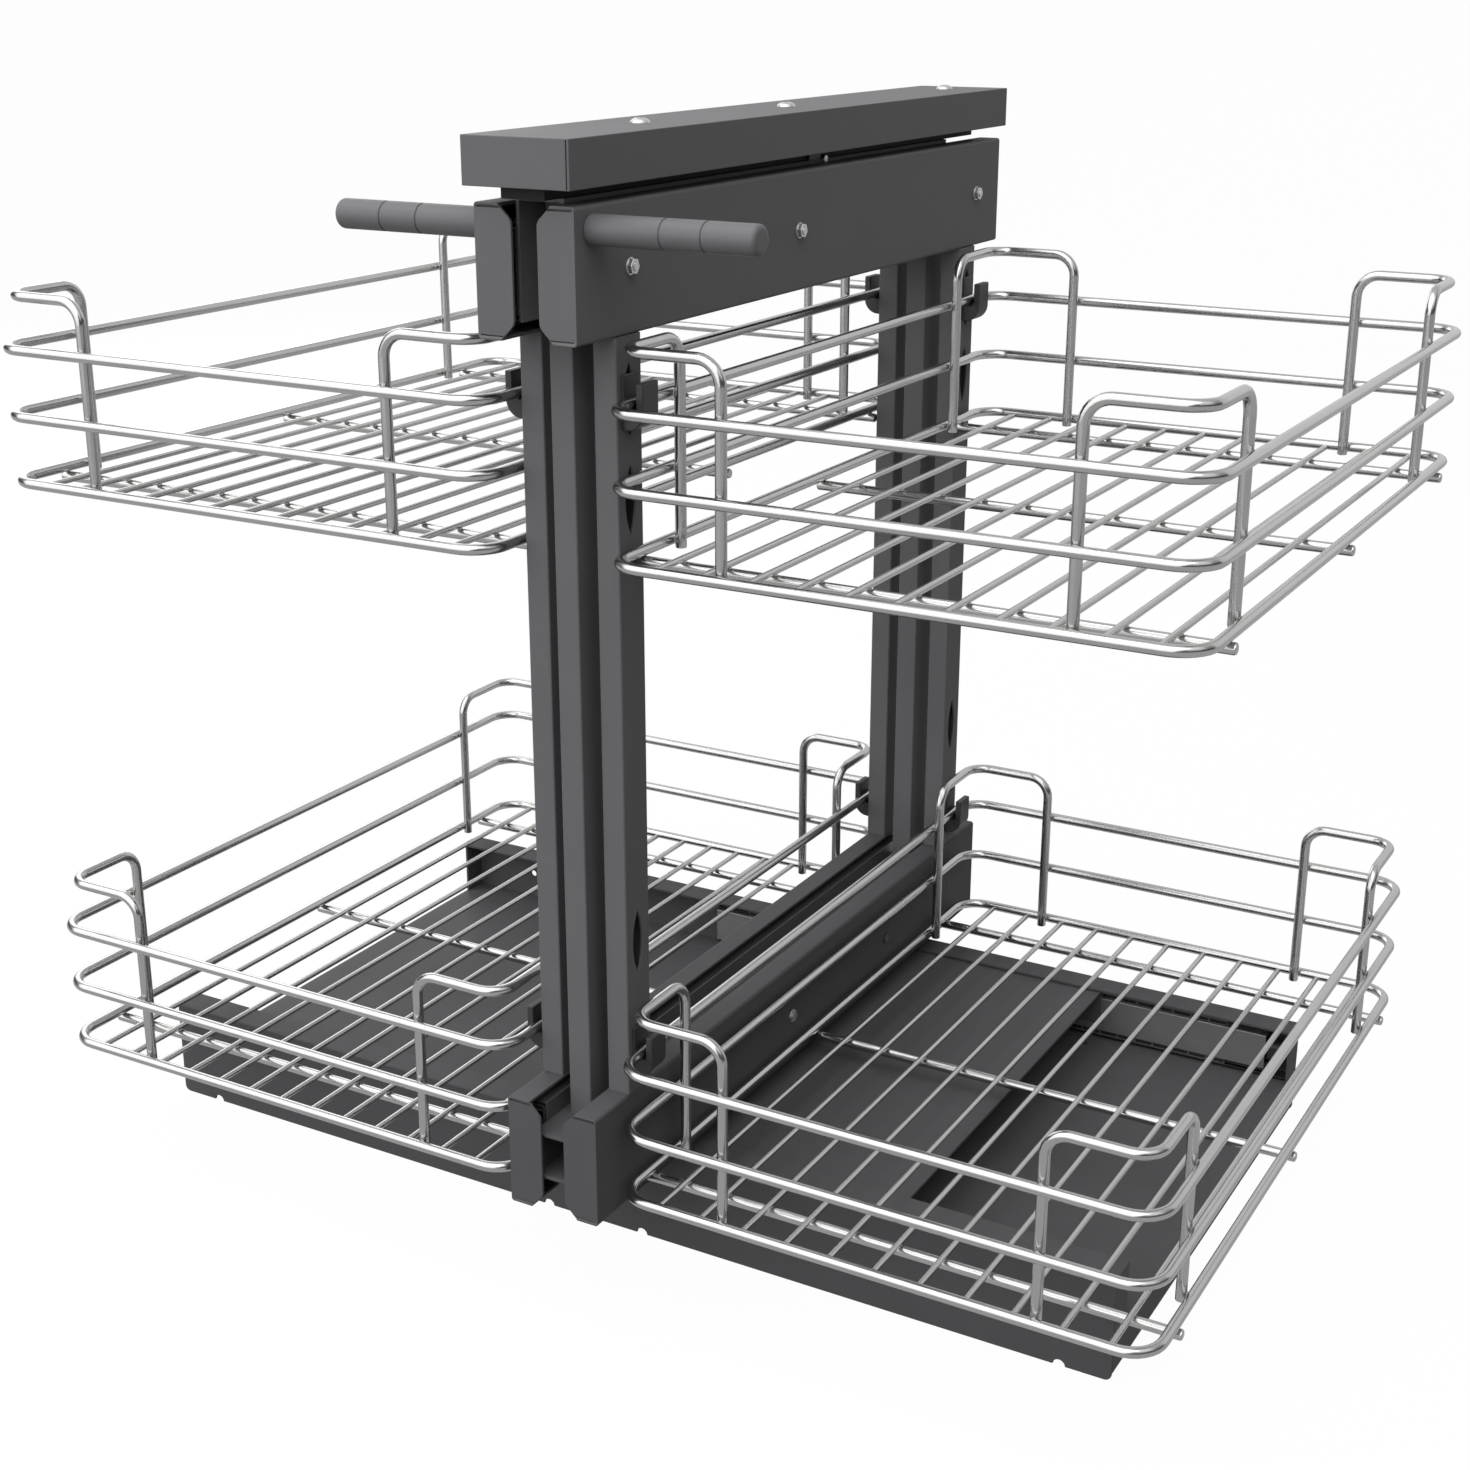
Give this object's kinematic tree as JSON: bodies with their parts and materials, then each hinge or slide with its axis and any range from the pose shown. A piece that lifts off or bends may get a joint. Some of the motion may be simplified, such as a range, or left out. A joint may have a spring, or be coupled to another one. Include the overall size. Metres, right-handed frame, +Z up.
{
  "type": "blind corner organizer",
  "caption": "Charcoal pull-out unit for a blind corner cabinet: a sliding post on a low base carries side frames with wire baskets on two levels under a long cover.",
  "frame": {"origin": "centre of the four screw holes of the base, on the cabinet floor that the base stands on", "axes": "+X along the base to the right, away from the side the carriage slides to; +Y to the back of the cabinet; +Z up, out of the screw holes"},
  "size_m": [0.7117, 0.5105, 0.6421],
  "materials": {
    "powder_coat": "matte",
    "slide_steel": "satin",
    "black_plastic": "matte",
    "wire_chrome": "satin"
  },
  "bodies": {
    "base": {"base_floor_pan": "powder_coat", "base_front_channel": "powder_coat", "base_rear_channel": "powder_coat", "lateral_bumpers": "black_plastic", "lateral_front_outer_rail": "slide_steel", "lateral_rear_outer_rail": "slide_steel"},
    "carriage": {"beam_saddles": "powder_coat", "carriage_plate": "powder_coat", "centre_tube": "powder_coat", "cover_screws": "slide_steel", "front_middle_column": "powder_coat", "lateral_front_inner_rail": "slide_steel", "lateral_rear_inner_rail": "slide_steel", "left_bottom_outer_rail": "slide_steel", "left_top_outer_rail": "slide_steel", "rear_middle_column": "powder_coat", "right_bottom_outer_rail": "slide_steel", "right_top_outer_rail": "slide_steel", "spine_bar": "powder_coat", "top_channel": "powder_coat", "top_cover": "powder_coat"},
    "lateral_middles": {"lateral_ball_retainers": "black_plastic", "lateral_front_middle_rail": "slide_steel", "lateral_rear_middle_rail": "slide_steel"},
    "left_frame": {"left_bottom_beam": "powder_coat", "left_bottom_inner_rail": "slide_steel", "left_front_column": "powder_coat", "left_handle": "powder_coat", "left_lower_hooks": "black_plastic", "left_rear_column": "powder_coat", "left_top_beam": "powder_coat", "left_top_inner_rail": "slide_steel", "left_upper_hooks": "black_plastic"},
    "left_middles": {"left_bottom_middle_rail": "slide_steel", "left_top_middle_rail": "slide_steel"},
    "left_lower_basket": {"left_lower_basket_corner_loops": "wire_chrome", "left_lower_basket_floor_grid": "wire_chrome", "left_lower_basket_rings": "wire_chrome"},
    "left_upper_basket": {"left_upper_basket_corner_loops": "wire_chrome", "left_upper_basket_floor_grid": "wire_chrome", "left_upper_basket_rings": "wire_chrome"},
    "right_frame": {"right_bottom_beam": "powder_coat", "right_bottom_inner_rail": "slide_steel", "right_front_column": "powder_coat", "right_handle": "powder_coat", "right_lower_hooks": "black_plastic", "right_rear_column": "powder_coat", "right_top_beam": "powder_coat", "right_top_inner_rail": "slide_steel", "right_upper_hooks": "black_plastic"},
    "right_middles": {"right_bottom_middle_rail": "slide_steel", "right_top_middle_rail": "slide_steel"},
    "right_lower_basket": {"right_lower_basket_corner_loops": "wire_chrome", "right_lower_basket_floor_grid": "wire_chrome", "right_lower_basket_rings": "wire_chrome"},
    "right_upper_basket": {"right_upper_basket_corner_loops": "wire_chrome", "right_upper_basket_floor_grid": "wire_chrome", "right_upper_basket_rings": "wire_chrome"}
  },
  "joints": [
    {"name": "carriage_slide", "type": "slide", "parent": "base", "child": "carriage", "axis": [1, 0, 0], "range_m": [-0.215, 0]},
    {"name": "lateral_middles_slide", "type": "slide", "parent": "base", "child": "lateral_middles", "axis": [1, 0, 0], "range_m": [-0.1075, 0]},
    {"name": "left_frame_slide", "type": "slide", "parent": "carriage", "child": "left_frame", "axis": [0, -1, 0], "range_m": [0, 0.42]},
    {"name": "left_middles_slide", "type": "slide", "parent": "carriage", "child": "left_middles", "axis": [0, -1, 0], "range_m": [0, 0.21]},
    {"name": "left_lower_basket_lift", "type": "slide", "parent": "left_frame", "child": "left_lower_basket", "axis": [0, 0, 1], "range_m": [0, 0.018]},
    {"name": "left_upper_basket_lift", "type": "slide", "parent": "left_frame", "child": "left_upper_basket", "axis": [0, 0, 1], "range_m": [0, 0.018]},
    {"name": "right_frame_slide", "type": "slide", "parent": "carriage", "child": "right_frame", "axis": [0, -1, 0], "range_m": [0, 0.42]},
    {"name": "right_middles_slide", "type": "slide", "parent": "carriage", "child": "right_middles", "axis": [0, -1, 0], "range_m": [0, 0.21]},
    {"name": "right_lower_basket_lift", "type": "slide", "parent": "right_frame", "child": "right_lower_basket", "axis": [0, 0, 1], "range_m": [0, 0.018]},
    {"name": "right_upper_basket_lift", "type": "slide", "parent": "right_frame", "child": "right_upper_basket", "axis": [0, 0, 1], "range_m": [0, 0.018]}
  ],
  "couplings": [
    {"joint": "lateral_middles_slide", "follows": "carriage_slide", "ratio": 0.5},
    {"joint": "left_middles_slide", "follows": "left_frame_slide", "ratio": 0.5},
    {"joint": "right_middles_slide", "follows": "right_frame_slide", "ratio": 0.5}
  ]
}
